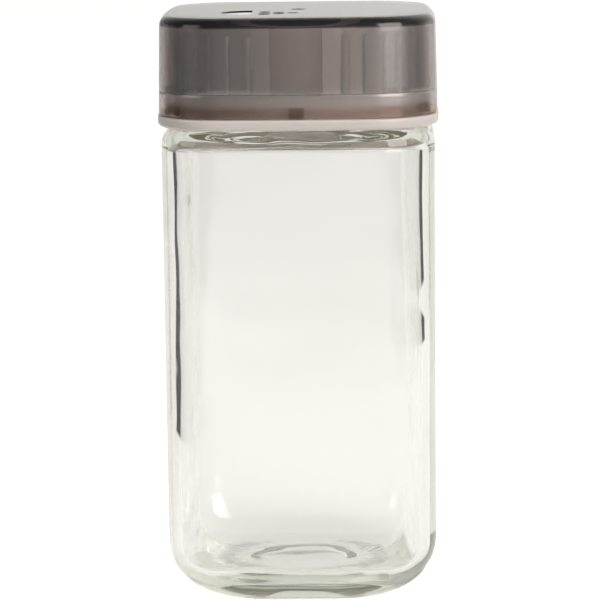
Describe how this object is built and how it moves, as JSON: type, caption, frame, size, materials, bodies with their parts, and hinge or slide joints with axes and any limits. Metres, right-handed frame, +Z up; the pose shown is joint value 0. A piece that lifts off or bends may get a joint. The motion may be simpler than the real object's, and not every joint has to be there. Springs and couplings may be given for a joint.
{
  "type": "spice jar",
  "caption": "Square clear glass spice jar with a screw-on white shaker closure and a smoke-grey dial cap that turns to close, sprinkle or pour.",
  "frame": {"origin": "centre of the jar's foot, on the surface that it stands on", "axes": "+Z up along the jar's axis and the axis of both turning joints, -Y towards the front face, the side that the stop lug marks"},
  "size_m": [0.0464, 0.0464, 0.0975],
  "materials": {
    "clear_glass": "clear moulded glass, fire-polished",
    "liner_foam": "soft foamed liner",
    "white_plastic": "moulded, satin",
    "smoke_plastic": "smoke-tinted translucent, polished top, satin sides"
  },
  "bodies": {
    "jar": {"glass_jar": "clear_glass"},
    "liner": {"seal_liner": "liner_foam"},
    "closure": {"shaker_base": "white_plastic"},
    "dial": {"dial_cap": "smoke_plastic"}
  },
  "joints": [
    {"name": "closure_rise", "type": "slide", "parent": "jar", "child": "liner", "axis": [0, 0, 1], "range_m": [0, 0.00634]},
    {"name": "closure_turn", "type": "hinge", "parent": "liner", "child": "closure", "pos_m": [0, 0, 0.0936], "axis": [0, 0, 1], "range_deg": [0, 540]},
    {"name": "dial_turn", "type": "hinge", "parent": "closure", "child": "dial", "pos_m": [0, 0, 0.0936], "axis": [0, 0, 1], "range_deg": [-90, 90]}
  ],
  "couplings": [
    {"joint": "closure_turn", "follows": "closure_rise", "rad_per_m": 1485.4}
  ]
}
